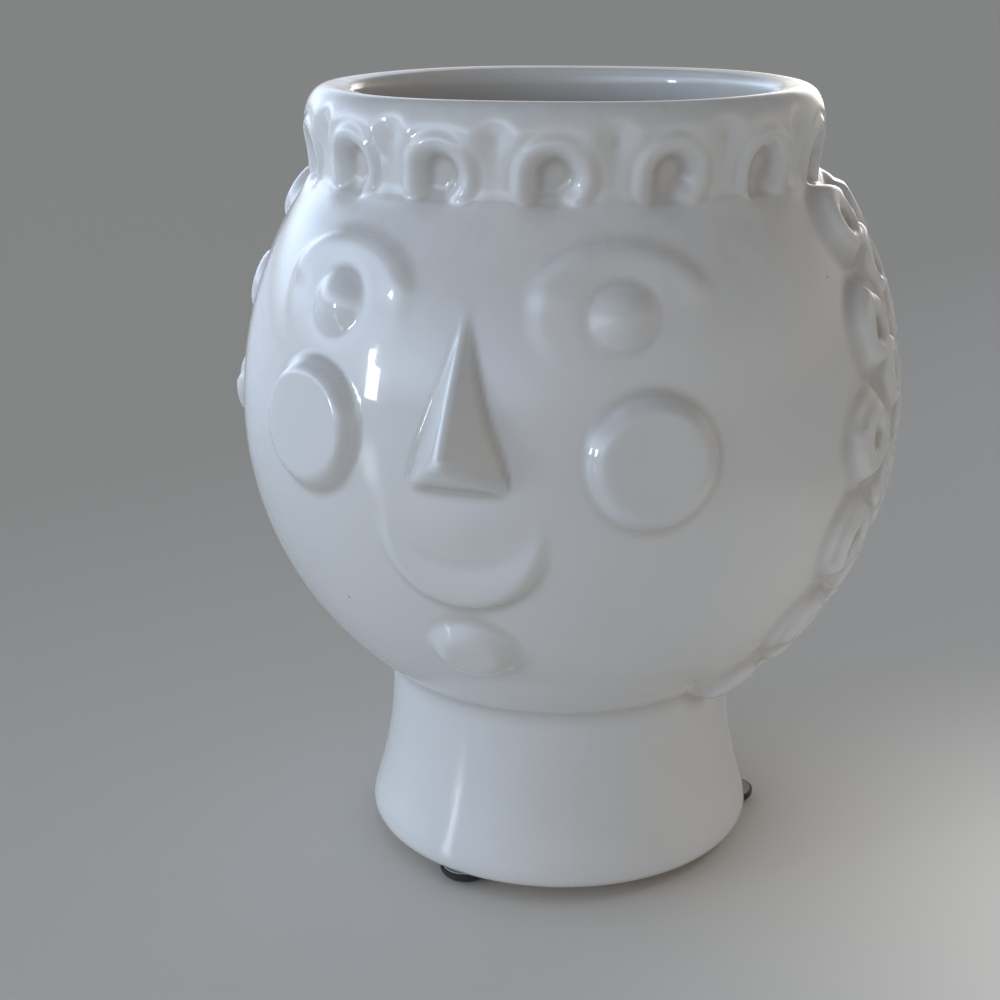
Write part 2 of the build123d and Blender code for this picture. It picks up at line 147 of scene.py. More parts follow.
def outline():
    """Closed outline of the turned body, from under the base over the lip to the floor inside, and its row steps."""
    def arc(radius, middle, heights, hollow=1):
        """Points of an arc about a middle on the level given, at the heights given."""
        return [(middle[0] + hollow * sqrt(max(radius**2 - (z - middle[1]) ** 2, 0)), z) for z in heights]

    def turn(middle, radius, first, last, tall=None):
        """Points of a round or an oval corner from one angle to another."""
        angles = np.radians(np.linspace(first, last, 40))
        return [(middle[0] + radius * cos(a), middle[1] + (tall or radius) * sin(a)) for a in angles]

    head_middle = (HEAD_RADIUS - JAW_ARC, HEAD_Z)
    crown_middle = (HEAD_RADIUS - CROWN_ARC, HEAD_Z)
    flare_middle = (NECK_RADIUS + FLARE_ARC, NECK_STRAIGHT_Z)
    base_middle = (BASE_RADIUS - BASE_ROUND, BASE_Z + BASE_ROUND)
    shoulder_middle = (LIP_RADIUS - LIP_SHOULDER, LIP_Z - SHOULDER_TALL)
    lip_middle = (MOUTH_RADIUS + LIP_ROUND, LIP_Z - 0.4 - LIP_ROUND)
    floor_edge = FLOOR_Z + FLOOR_ROUND
    bore = NECK_RADIUS - WALL
    bore_top = HEAD_Z - sqrt((JAW_ARC - WALL) ** 2 - (bore - head_middle[0]) ** 2)
    mouth_low = HEAD_Z + sqrt((CROWN_ARC - WALL) ** 2 - (MOUTH_RADIUS - crown_middle[0]) ** 2)
    spans = [
        # outline of the span, length of its rows, every how many columns it uses
        ([(0, RECESS_Z), (RECESS_RADIUS - 0.4, RECESS_Z)], 14.0, 2),
        ([(RECESS_RADIUS, RECESS_Z - 0.4), (RECESS_RADIUS, BASE_Z + 0.5), (RECESS_RADIUS + 0.5, BASE_Z)], 1.6, 2),
        ([(RECESS_RADIUS + 0.6, BASE_Z), (BASE_RADIUS - BASE_ROUND - 0.4, BASE_Z)], 4.5, 2),
        (turn(base_middle, BASE_ROUND, -90, -8), 0.85, 1),
        (arc(FLARE_ARC, flare_middle, np.linspace(FLARE_Z, NECK_STRAIGHT_Z, 60), -1), 2.3, 1),
        ([(NECK_RADIUS, NECK_STRAIGHT_Z + 1), (NECK_RADIUS, NECK_Z)], 1.1, 1),
        (arc(JAW_ARC, head_middle, np.linspace(NECK_Z + 0.3, HEAD_Z, 200)), 1.04, 1),
        (arc(CROWN_ARC, crown_middle, np.linspace(HEAD_Z + 0.2, COLLAR_Z, 200)), 0.98, 1),
        ([(COLLAR_RADIUS + 0.03, COLLAR_Z + 0.3), (LIP_RADIUS - 0.1, LIP_Z - SHOULDER_TALL - 1.4)], 0.56, 1),
        (turn(shoulder_middle, LIP_SHOULDER, -8, 88, SHOULDER_TALL), 0.7, 1),
        ([(LIP_RADIUS - LIP_SHOULDER - 0.6, LIP_Z), (MOUTH_RADIUS + LIP_ROUND + 0.7, LIP_Z - 0.3)], 1.2, 1),
        (turn(lip_middle, LIP_ROUND, 90, 180), 0.8, 1),
        ([(MOUTH_RADIUS, LIP_Z - LIP_ROUND - 2.0), (MOUTH_RADIUS, mouth_low)], 4.0, 2),
        (arc(CROWN_ARC - WALL, crown_middle, np.linspace(mouth_low - 1.5, HEAD_Z, 100)), 6.0, 2),
        (arc(JAW_ARC - WALL, head_middle, np.linspace(HEAD_Z - 5, bore_top, 100)), 6.0, 2),
        ([(bore, bore_top - 2), (bore, NECK_STRAIGHT_Z)], 4.0, 2),
        (arc(FLARE_ARC + WALL, flare_middle, np.linspace(NECK_STRAIGHT_Z - 3, floor_edge, 60), -1), 5.0, 2),
        (turn((FLOOR_CORNER, floor_edge), FLOOR_ROUND, -8, -88), 2.2, 2),
        ([(FLOOR_FLAT, FLOOR_Z), (0, FLOOR_Z)], 13.0, 2),
    ]
    points, strides = [], []
    for line, length, stride in spans:
        line = np.array(line, float)
        along = np.concatenate([[0], np.cumsum(np.hypot(*np.diff(line, axis=0).T))])
        count = max(2, int(round(along[-1] / length)) + 1)
        marks = np.linspace(0, along[-1], count)
        points += list(zip(np.interp(marks, along, line[:, 0]), np.interp(marks, along, line[:, 1])))
        strides += [stride] * count
    return np.array(points), strides


def face_relief(azimuth, z, radius):
    """Height of the face above the smooth head, in millimetres. Azimuth in radians."""
    along = climb(z)

    def spot(turn, level):
        """Distances across and up from a place on the head."""
        return radius * (azimuth - radians(turn)), along - climb(level)

    # Nose: two flanks that meet in a ridge, and an underside that slopes back to the lip
    across, up = spot(0, NOSE_Z)
    lean = NOSE_TIP_HEIGHT / (NOSE_REACH * (1 - NOSE_TIP_RISE / NOSE_LENGTH) ** NOSE_TAPER)
    bow = np.clip((up - NOSE_TIP_RISE) * (NOSE_LENGTH - up), 0, None) / (NOSE_BOW * CROWN_ARC)
    half_width = NOSE_REACH * np.clip(1 - up / NOSE_LENGTH, 0, None) ** NOSE_TAPER
    flank = lean * (half_width - np.sqrt(across**2 + NOSE_RIDGE)) - bow
    nose = soft_least(flank, NOSE_TIP_HEIGHT * up / NOSE_TIP_RISE, NOSE_TIP_ROUND)
    nose = soft_most(nose, 0 * nose, NOSE_FILLET) - NOSE_FILLET / 4
    near = (np.abs(across) < NOSE_ASIDE) & (up > -NOSE_MARGIN) & (up < NOSE_LENGTH + NOSE_MARGIN)
    nose = np.where(near, np.clip(nose, 0, None), 0)

    plates = np.zeros_like(nose)
    for side, (cheek_turn, cheek_level, cheek_flat) in zip((-1, 1), CHEEKS):
        # Cheek: a flat disc with a broad soft wall
        across, up = spot(cheek_turn, cheek_level)
        away = np.hypot(across, up)
        level = CHEEK_HEIGHT + np.clip(away, 0, CHEEK_LEVEL) ** 2 / (CHEEK_CURVE * HEAD_RADIUS)
        plates += level * step(CHEEK_RADIUS, cheek_flat, away)

        # Brow: a soft arched ridge over a low plate that fades out below the eye
        across, up = spot(side * BROW_TURN, BROW_Z)
        rim = np.hypot(across / BROW_WIDE, up / BROW_TALL)
        turn = np.arctan2(up / BROW_TALL, across / BROW_WIDE)
        ends = step(BROW_TIP, BROW_FULL, turn) * step(pi - BROW_TIP, pi - BROW_FULL, turn)
        width = np.where(rim > 1, BROW_OUTSIDE, BROW_INSIDE)
        plates += BROW_HEIGHT * hump((rim - 1) * BROW_MEAN, width) * ends
        plates += PLATE_HEIGHT * step(*PLATE_EDGE, rim) * step(*PLATE_FADE, up)

        # Eye: a soft round boss in a shallow ring
        away = np.hypot(across, up)
        plates += EYE_HEIGHT * np.clip(1 - (away / EYE_RADIUS) ** 2, 0, 1) ** EYE_FULLNESS
        plates -= EYE_RING_DEPTH * hump(away - EYE_RING, EYE_RING_WIDTH)

    # Smile: swells down from a soft crease and ends in a rounded step along its lower arc
    across, up = spot(0, SMILE_Z)
    below = np.hypot(across, up - CREASE_RISE) - CREASE_RADIUS
    inside = SMILE_RADIUS - np.hypot(across, up - SMILE_RISE)
    plates += SMILE_HEIGHT * step(*SMILE_SWELL, below) * step(*SMILE_EDGE, inside)
    crease = CREASE_DEPTH * hump(below, CREASE_WIDTH)
    plates -= crease * step(*CREASE_ASIDE, np.abs(across)) * step(*CREASE_TOP, up)
    plates += SWELL_HEIGHT * np.exp(-((across / SWELL_WIDE) ** 2) - ((up - SWELL_RISE) / SWELL_TALL) ** 2)

    # Chin: a low round boss
    across, up = spot(CHIN_TURN, CHIN_Z)
    away = np.hypot(across / CHIN_WIDE, up / CHIN_TALL)
    plates += CHIN_HEIGHT * step(*CHIN_EDGE, away)
    return soft_most(nose, plates, FACE_FILLET) - FACE_FILLET / 4 * ((nose > 0.01) & (plates > 0.01))


def hair_rows():
    """Length up the head, height, radius, lean and first azimuth of each row of curls, from the collar down."""
    high, low = float(climb(COLLAR_Z)) - HAIR_TOP, float(climb(NECK_Z)) + HAIR_FOOT
    count = 2 * len(HAIRLINE) - 1
    rows = []
    for row in range(count):
        along = high + row * (low - high) / (count - 1)
        arc = CROWN_ARC if along > 0 else JAW_ARC
        lean = along / arc
        first = (HAIRLINE[row // 2] + HAIRLINE[row // 2 + row % 2]) / 2
        rows.append((along, HEAD_Z + arc * sin(lean), HEAD_RADIUS - arc + arc * cos(lean), lean, first))
    return rows


def hair_mass(azimuth, z, radius):
    """Share of the hair's full thickness at a place: 0 on the face, 1 well behind the first curls."""
    rows = hair_rows()[::-1]
    first = np.interp(z, [row[1] for row in rows], [row[4] for row in rows])
    first = first + np.where(azimuth < 0, HAIR_SET_BACK, 0)
    behind = radius * (np.abs(azimuth) - np.radians(first))
    along, low, high = climb(z), rows[0][0] - MASS_BELOW, rows[-1][0] + MASS_ABOVE
    return step(*MASS_EDGE, behind) * step(low, low + MASS_FADE, along) * step(high, high - MASS_FADE, along)


def turned_body():
    """Mesh of the turned body with its face, one closed skin, its corners softened as under a thick glaze."""
    points, strides = outline()
    for smoothing in range(SOFT_PASSES):
        drawn = points.copy()
        for i in range(1, len(points) - 1):
            collar_foot = abs(points[i][1] - COLLAR_Z) < COLLAR_SOFT
            neck = abs(points[i][1] - NECK_Z) < NECK_SOFT and smoothing < NECK_PASSES
            if strides[i - 1] == strides[i + 1] and (smoothing == 0 or collar_foot or neck):
                drawn[i] = (points[i - 1] + 2 * points[i] + points[i + 1]) / 4
        points = drawn
    tangent = np.gradient(points, axis=0)
    tangent /= np.hypot(tangent[:, 0], tangent[:, 1])[:, None]
    outward = np.stack([tangent[:, 1], -tangent[:, 0]], axis=1)

    front = np.linspace(-FRONT_REACH, FRONT_REACH, FRONT_COLUMNS + 1)
    back = np.linspace(FRONT_REACH, 360 - FRONT_REACH, BACK_COLUMNS + 1)[1:-1]
    turns = np.radians(np.concatenate([front, back]))
    signed = np.arctan2(np.sin(turns), np.cos(turns))

    vertices, masses, rows = [], [], []
    for (radius, z), (out_r, out_z), stride in zip(points, outward, strides):
        first = len(vertices)
        if radius < 1e-6:
            vertices.append((0, 0, z * MM))
            masses.append(0.0)
            rows.append(([first], stride))
            continue
        azimuth = signed[::stride]
        lift = np.zeros_like(azimuth)
        thick = np.zeros_like(azimuth)
        if stride == 1 and out_r > 0 and NECK_Z + 1 < z < COLLAR_Z:
            lift += face_relief(azimuth, z, radius)
            thick = hair_mass(azimuth, z, radius)
        masses += list(thick)
        if stride == 1 and z > WAVES_FROM:
            broad = BROAD_WAVE * np.sin(3 * azimuth + 1.1) * sin(z / 23)
            lift += broad + FINE_WAVE * np.sin(5 * azimuth + 2 + z / 31)
        ring_r = radius + lift * out_r
        ring_z = z + lift * out_z
        vertices += list(zip(ring_r * np.sin(azimuth) * MM, -ring_r * np.cos(azimuth) * MM, ring_z * MM))
        rows.append((list(range(first, len(vertices))), stride))

    faces = []
    for (low, low_stride), (high, high_stride) in zip(rows, rows[1:]):
        if len(low) == 1:
            faces += [(low[0], high[(i + 1) % len(high)], high[i]) for i in range(len(high))]
        elif len(high) == 1:
            faces += [(low[i], low[(i + 1) % len(low)], high[0]) for i in range(len(low))]
        elif low_stride == high_stride:
            count = len(low)
            faces += [(low[i], low[(i + 1) % count], high[(i + 1) % count], high[i]) for i in range(count)]
        elif low_stride > high_stride:
            for i in range(len(low)):
                left, middle, right = high[2 * i], high[2 * i + 1], high[(2 * i + 2) % len(high)]
                faces += [(low[i], middle, left), (low[i], low[(i + 1) % len(low)], right, middle)]
        else:
            for i in range(len(high)):
                left, middle, right = low[2 * i], low[2 * i + 1], low[(2 * i + 2) % len(low)]
                faces += [(left, middle, high[i]), (middle, right, high[(i + 1) % len(high)], high[i])]
    mesh = bpy.data.meshes.new("ceramic_body_glaze")
    mesh.from_pydata([tuple(map(float, v)) for v in vertices], [], faces)
    mesh.polygons.foreach_set("use_smooth", [True] * len(mesh.polygons))
    mesh.attributes.new("mass", "FLOAT", "POINT").data.foreach_set("value", [float(m) for m in masses])
    mesh.update()
    return mesh


def seat(azimuth, radius, z, lean, twist=0.0, hand=1.0, size=1.0):
    """A place on the surface, the ways out of it and up along it, and the hand and size of what sits there."""
    turn = radians(azimuth)
    out = Vector((sin(turn) * cos(lean), -cos(turn) * cos(lean), sin(lean)))
    up = Vector((-sin(turn) * sin(lean), cos(turn) * sin(lean), cos(lean)))
    up.rotate(Matrix.Rotation(radians(twist), 3, out))
    return Vector((radius * sin(turn), -radius * cos(turn), z)) * MM, out, up, hand, size


def seats_object(name, seats):
    """Loose points that carry the directions of their seats."""
    mesh = bpy.data.meshes.new(name)
    mesh.from_pydata([tuple(s[0]) for s in seats], [], [])
    for word, place in (("out", 1), ("up", 2)):
        layer = mesh.attributes.new(word, "FLOAT_VECTOR", "POINT")
        layer.data.foreach_set("vector", [x for s in seats for x in s[place]])
    for word, place in (("hand", 3), ("size", 4)):
        layer = mesh.attributes.new(word, "FLOAT", "POINT")
        layer.data.foreach_set("value", [s[place] for s in seats])
    made = bpy.data.objects.new(name, mesh)
    bpy.context.collection.objects.link(made)
    return made


def collar_seats(offset, rise):
    """Evenly spaced places round the collar, at a height above its foot."""
    slope = (LIP_RADIUS - COLLAR_RADIUS) / (LIP_Z - SHOULDER_TALL - COLLAR_Z)
    radius = COLLAR_RADIUS + slope * rise
    turns = [COLLAR_TURN + 360 / SCROLL_COUNT * (i + offset) for i in range(SCROLL_COUNT)]
    return [seat(turn, radius, COLLAR_Z + rise, -slope) for turn in turns]


def curl_seats():
    """Places for the curls: every other row starts at the hairline, and the rows between are staggered."""
    seats = []
    for row, (along, z, radius, lean, first) in enumerate(hair_rows()):
        between = row % 2
        pitch = (360 - 2 * first - HAIR_SET_BACK) / (CURLS_ROUND - 1)
        size = 1 - CURL_TAPER * (HEAD_RADIUS - radius)
        for i in range(CURLS_ROUND - between):
            azimuth = first + pitch * (i + between / 2)
            hand = 1.0 if azimuth < 180 else -1.0
            inward = i if azimuth < 180 else CURLS_ROUND - between - 1 - i
            twist = hand * (CURL_TWIST + TWIST_INWARD * inward + TWIST_DOWN * row)
            seats.append(seat(azimuth, radius, z, lean, twist, hand, size))
    return seats


def add_node(tree, kind, feeds=None, **settings):
    """A node with its settings, and its inputs joined to other nodes' outputs or set to values."""
    made = tree.nodes.new(kind)
    for key, value in settings.items():
        setattr(made, key, value)
    for socket, feed in (feeds or {}).items():
        if isinstance(feed, bpy.types.NodeSocket):
            tree.links.new(feed, made.inputs[socket])
        else:
            made.inputs[socket].default_value = feed
    return made


def maths(tree, operation, first, second=0.0):
    """The result of one sum on two values."""
    return add_node(tree, "ShaderNodeMath", {0: first, 1: second}, operation=operation).outputs[0]


def ranged(tree, value, low, high, first=0.0, last=1.0, course="LINEAR"):
    """A value carried from one range to another, and held at its ends."""
    return add_node(
        tree, "ShaderNodeMapRange",
        {"Value": value, "From Min": low, "From Max": high, "To Min": first, "To Max": last},
        interpolation_type=course,
    ).outputs[0]


def dot(tree, first, second):
    """How far one direction goes along another."""
    return add_node(tree, "ShaderNodeVectorMath", {0: first, 1: second}, operation="DOT_PRODUCT").outputs["Value"]


def ornament_tree():
    """Raises rolled scrolls and spiral curls out of a body, and sinks pockets, round guides on its seats."""
    tree = bpy.data.node_groups.new("rolled_ornament", "GeometryNodeTree")
    face = tree.interface
    face.new_socket("Body", in_out="OUTPUT", socket_type="NodeSocketGeometry")
    face.new_socket("Body", in_out="INPUT", socket_type="NodeSocketGeometry")
    for word in ("Scroll Seats", "Pocket Seats", "Curl Seats"):
        face.new_socket(word, in_out="INPUT", socket_type="NodeSocketObject")
    face.new_socket("Glaze", in_out="INPUT", socket_type="NodeSocketMaterial")
    for word in (
        "Outer Turn", "Inner Turn", "Stem", "Roll Reach", "Roll Height",
        "Hollow Radius", "Hollow Edge", "Hollow Depth",
        "Pocket Length", "Pocket Reach", "Pocket Slope",
        "Curl Turns", "Curl Eye", "Curl Radius", "Strand Reach", "Strand Height",
        "Pad Radius", "Pad Edge", "Pad Height", "Eye Reach", "Eye Depth",
    ):
        face.new_socket(word, in_out="INPUT", socket_type="NodeSocketFloat")
    given = tree.nodes.new("NodeGroupInput").outputs

    def stored(word, kind="FLOAT"):
        """What the points of a mesh carry under a word."""
        node = add_node(tree, "GeometryNodeInputNamedAttribute", {"Name": word}, data_type=kind)
        return node.outputs["Attribute"]

    def joined(x=0.0, y=0.0, z=0.0):
        """A direction from its three parts."""
        return add_node(tree, "ShaderNodeCombineXYZ", {0: x, 1: y, 2: z}).outputs[0]

    def placed(seats, guide):
        """The guide on every seat, turned to lie on the surface there, and the seats themselves."""
        points = add_node(tree, "GeometryNodeObjectInfo", {"Object": seats}).outputs["Geometry"]
        turned = add_node(
            tree, "FunctionNodeAxesToRotation",
            {0: stored("out", "FLOAT_VECTOR"), 1: stored("up", "FLOAT_VECTOR")},
            primary_axis="Z", secondary_axis="Y",
        ).outputs[0]
        size = stored("size")
        scale = joined(maths(tree, "MULTIPLY", stored("hand"), size), size, size)
        made = add_node(
            tree, "GeometryNodeInstanceOnPoints",
            {"Points": points, "Instance": guide, "Rotation": turned, "Scale": scale},
        ).outputs[0]
        return add_node(tree, "GeometryNodeRealizeInstances", {0: made}).outputs[0], points

    def distance(target, element):
        """Distance from the surface to the nearest point, edge or face of a target."""
        return add_node(tree, "GeometryNodeProximity", {0: target}, target_element=element).outputs["Distance"]

    def upright(x, low, high):
        """An upright line at a distance to the side, from one height to another."""
        start, end = joined(x, low), joined(x, high)
        return add_node(tree, "GeometryNodeCurvePrimitiveLine", {"Start": start, "End": end}).outputs[0]

    def shifted(curve, x, y):
        """The curve, moved across and up."""
        return add_node(
            tree, "GeometryNodeTransform", {"Geometry": curve, "Translation": joined(x, y)}
        ).outputs[0]

    def arc(radius, start, sweep):
        """Part of a circle, from an angle on through a sweep."""
        return add_node(
            tree, "GeometryNodeCurveArc",
            {"Resolution": 24, "Radius": radius, "Start Angle": start, "Sweep Angle": sweep}, mode="RADIUS",
        ).outputs[0]

    def dipped(curve, depth, until=1.0):
        """The curve, sunk under the surface at its start and lifted off it at its end, from the share given."""
        share = add_node(tree, "GeometryNodeSplineParameter").outputs["Factor"]
        left = maths(tree, "SUBTRACT", 1.0, share)
        sunk = maths(tree, "MULTIPLY", left, left)
        if until < 1:
            past = maths(tree, "DIVIDE", maths(tree, "SUBTRACT", share, until), 1 - until)
            past = maths(tree, "MAXIMUM", past, 0.0)
            sunk = maths(tree, "SUBTRACT", sunk, maths(tree, "MULTIPLY", past, past))
        drop = maths(tree, "MULTIPLY", sunk, maths(tree, "MULTIPLY", depth, -1.0))
        return add_node(
            tree, "GeometryNodeSetPosition", {"Geometry": curve, "Offset": joined(z=drop)}
        ).outputs[0]

    def guide_of(curve):
        """The curve as edges of a mesh."""
        return add_node(tree, "GeometryNodeCurveToMesh", {"Curve": curve}).outputs[0]

    def roll(away, reach, height, fullness):
        """Height of a rounded roll at a distance from its middle line."""
        share = maths(tree, "DIVIDE", away, reach)
        left = maths(tree, "SUBTRACT", 1.0, maths(tree, "MULTIPLY", share, share))
        rounded = maths(tree, "POWER", maths(tree, "MAXIMUM", left, 0.0), fullness)
        return maths(tree, "MULTIPLY", rounded, height)

    def ledge(away, edge, height):
        """Height of a plate with a soft edge, at a distance from where it is full."""
        return ranged(tree, away, edge, 0.0, 0.0, height, "SMOOTHSTEP")

    # Scroll: a stem, a wide half turn over the top, and a closer one that ends in a tip under the middle
    outer, inner = given["Outer Turn"], given["Inner Turn"]
    left = maths(tree, "MULTIPLY", outer, -1.0)
    stem = upright(left, maths(tree, "MULTIPLY", given["Stem"], -1.0), 0.0)
    over = arc(outer, 0.0, pi)
    under = arc(inner, UNDER_START * pi, UNDER_SWEEP * pi)
    under = shifted(under, maths(tree, "SUBTRACT", outer, inner), 0.0)
    scroll = tree.nodes.new("GeometryNodeJoinGeometry")
    for line in (dipped(stem, given["Roll Reach"]), over, dipped(under, given["Roll Reach"])):
        tree.links.new(line, scroll.inputs[0])
    scrolls, middles = placed(given["Scroll Seats"], guide_of(scroll.outputs[0]))
    rolled = roll(distance(scrolls, "EDGES"), given["Roll Reach"], given["Roll Height"], SCROLL_FULLNESS)
    past_hollow = maths(tree, "SUBTRACT", distance(middles, "POINTS"), given["Hollow Radius"])
    hollowed = ledge(maths(tree, "MAXIMUM", past_hollow, 0.0), given["Hollow Edge"], given["Hollow Depth"])
    here = add_node(tree, "GeometryNodeInputPosition").outputs[0]
    level = add_node(tree, "ShaderNodeSeparateXYZ", {0: here}).outputs["Z"]
    melted = ranged(tree, level, MELT_LOW * MM, MELT_HIGH * MM, course="SMOOTHSTEP")
    scroll_lift = maths(tree, "SUBTRACT", rolled, maths(tree, "MULTIPLY", hollowed, melted))

    # Pocket: a valley between two scrolls, widest and deepest near the top, with plain sloping walls
    half = maths(tree, "MULTIPLY", given["Pocket Length"], 0.5)
    valley = upright(0.0, maths(tree, "MULTIPLY", half, -1.0), half)
    valley = add_node(tree, "GeometryNodeResampleCurve", {"Curve": valley, "Count": VALLEY_POINTS}).outputs[0]
    valley = dipped(valley, given["Pocket Reach"], VALLEY_TOP)
    pockets, _ = placed(given["Pocket Seats"], guide_of(valley))
    short = maths(tree, "SUBTRACT", given["Pocket Reach"], distance(pockets, "EDGES"))
    short = maths(tree, "MAXIMUM", short, 0.0)
    longer = maths(tree, "ADD", short, POCKET_EASE * MM)
    eased = maths(tree, "DIVIDE", maths(tree, "MULTIPLY", short, short), longer)
    pocket_sink = maths(tree, "MULTIPLY", eased, given["Pocket Slope"])

    # Curl: a round pad with a strand that winds in to its middle
    winding = add_node(
        tree, "GeometryNodeCurveSpiral",
        {
            "Resolution": 32, "Rotations": given["Curl Turns"], "Start Radius": given["Curl Eye"],
            "End Radius": given["Curl Radius"], "Height": 0.0,
        },
    ).outputs[0]
    strands, points = placed(given["Curl Seats"], guide_of(winding))
    strand_lift = roll(distance(strands, "EDGES"), given["Strand Reach"], given["Strand Height"], STRAND_FULLNESS)
    disc = add_node(
        tree, "GeometryNodeMeshCircle", {"Vertices": 28, "Radius": given["Pad Radius"]}, fill_type="NGON"
    ).outputs[0]
    pads, _ = placed(given["Curl Seats"], disc)
    past_pad = maths(tree, "SUBTRACT", distance(pads, "FACES"), PAD_ROUND * MM)
    pad_lift = ledge(maths(tree, "MAXIMUM", past_pad, 0.0), given["Pad Edge"], given["Pad Height"])
    eye_sink = roll(distance(points, "POINTS"), given["Eye Reach"], given["Eye Depth"], 1.0)
    ground = maths(tree, "MAXIMUM", pad_lift, maths(tree, "MULTIPLY", stored("mass"), given["Pad Height"]))

    # All of it raises or sinks the body along its own normals
    ornament_lift = maths(tree, "SUBTRACT", scroll_lift, pocket_sink)
    hair_lift = maths(tree, "SUBTRACT", maths(tree, "ADD", strand_lift, ground), eye_sink)
    lift = maths(tree, "ADD", ornament_lift, hair_lift)
    soft = add_node(
        tree, "GeometryNodeBlurAttribute", {"Value": lift, "Iterations": 1}, data_type="FLOAT"
    ).outputs[0]
    out = add_node(tree, "GeometryNodeInputNormal").outputs[0]
    offset = add_node(tree, "ShaderNodeVectorMath", {0: out, "Scale": soft}, operation="SCALE").outputs[0]
    raised = add_node(tree, "GeometryNodeSetPosition", {"Geometry": given["Body"], "Offset": offset}).outputs[0]

    # Hollows for the glaze: millimetres by which the shape around a place lies outside it, and where glaze pools;
    # the glaze browns there, partly pooling and partly painted shade
    around = add_node(
        tree, "GeometryNodeBlurAttribute", {"Value": here, "Iterations": 8}, data_type="FLOAT_VECTOR"
    ).outputs[0]
    inward = add_node(tree, "ShaderNodeVectorMath", {0: around, 1: here}, operation="SUBTRACT").outputs[0]
    sunk = maths(tree, "MULTIPLY", dot(tree, inward, out), 1 / MM)
    scroll_eyes = ledge(distance(middles, "POINTS"), SCROLL_EYE * MM, SCROLL_POOL_AND_SHADE)
    curl_eyes = ledge(distance(points, "POINTS"), CURL_EYE * MM, CURL_POOL_AND_SHADE)
    # Painted shade on the slopes round the curls' pads
    risen = maths(tree, "DIVIDE", pad_lift, given["Pad Height"])
    slope = maths(tree, "MULTIPLY", risen, maths(tree, "SUBTRACT", 1.0, risen))
    shaded_banks = maths(tree, "MULTIPLY", slope, BANK_SHADE)
    pooled_glaze_and_shade = maths(tree, "ADD", maths(tree, "ADD", scroll_eyes, curl_eyes), shaded_banks)
    marked = add_node(
        tree, "GeometryNodeStoreNamedAttribute",
        {"Geometry": raised, "Name": "hollow", "Value": maths(tree, "ADD", sunk, pooled_glaze_and_shade)},
        data_type="FLOAT", domain="POINT",
    ).outputs[0]
    whole = add_node(tree, "GeometryNodeRealizeInstances", {0: marked}).outputs[0]
    glazed = add_node(tree, "GeometryNodeSetMaterial", {"Geometry": whole, "Material": given["Glaze"]}).outputs[0]
    add_node(tree, "NodeGroupOutput", {0: glazed})
    return tree


def noise(tree, place, scale, detail=2.0, roughness=0.5):
    """Cloudy values from 0 to 1."""
    return add_node(
        tree, "ShaderNodeTexNoise", {"Vector": place, "Scale": scale, "Detail": detail, "Roughness": roughness}
    ).outputs[0]


def settled_dust_group():
    """Mask of dust that settles on faces that look up, in uneven patches."""
    tree = bpy.data.node_groups.new("settled_dust", "ShaderNodeTree")
    for word in ("Scale", "Amount"):
        tree.interface.new_socket(word, in_out="INPUT", socket_type="NodeSocketFloat")
    tree.interface.new_socket("Mask", in_out="OUTPUT", socket_type="NodeSocketFloat")
    given = tree.nodes.new("NodeGroupInput").outputs
    place = add_node(tree, "ShaderNodeTexCoord").outputs
    facing = add_node(tree, "ShaderNodeSeparateXYZ", {0: place["Normal"]}).outputs["Z"]
    upward = ranged(tree, facing, 0.15, 0.75, course="SMOOTHSTEP")
    uneven = ranged(tree, noise(tree, place["Object"], given["Scale"], 6.0, 0.7), 0.42, 0.72)
    mask = maths(tree, "MULTIPLY", maths(tree, "MULTIPLY", upward, uneven), given["Amount"])
    add_node(tree, "NodeGroupOutput", {0: mask})
    return tree


def new_material(name):
    """An empty node material, its tree, its principled shader and the object's own coordinates."""
    made = bpy.data.materials.new(name)
    made.use_nodes = True
    tree = made.node_tree
    shader = tree.nodes["Principled BSDF"]
    place = add_node(tree, "ShaderNodeTexCoord").outputs["Object"]
    return made, tree, shader, place


def mixed(tree, share, first, second):
    """A colour between two colours."""
    made = add_node(tree, "ShaderNodeMix", data_type="RGBA")
    for place, feed in ((0, share), (6, first), (7, second)):
        if isinstance(feed, bpy.types.NodeSocket):
            tree.links.new(feed, made.inputs[place])
        else:
            made.inputs[place].default_value = feed if place == 0 else (*feed, 1)
    return made.outputs[2]


def dusted(tree, colour, dust, scale, amount, tint):
    """A colour under settled dust, and the mask of the dust."""
    settled = add_node(tree, "ShaderNodeGroup", {"Scale": scale, "Amount": amount}, node_tree=dust)
    return mixed(tree, settled.outputs["Mask"], colour, tint), settled.outputs["Mask"]


def bumped(tree, shader, height, strength, depth):
    """Fine relief on a shader's surface."""
    made = add_node(tree, "ShaderNodeBump", {"Height": height, "Strength": strength, "Distance": depth})
    tree.links.new(made.outputs[0], shader.inputs["Normal"])


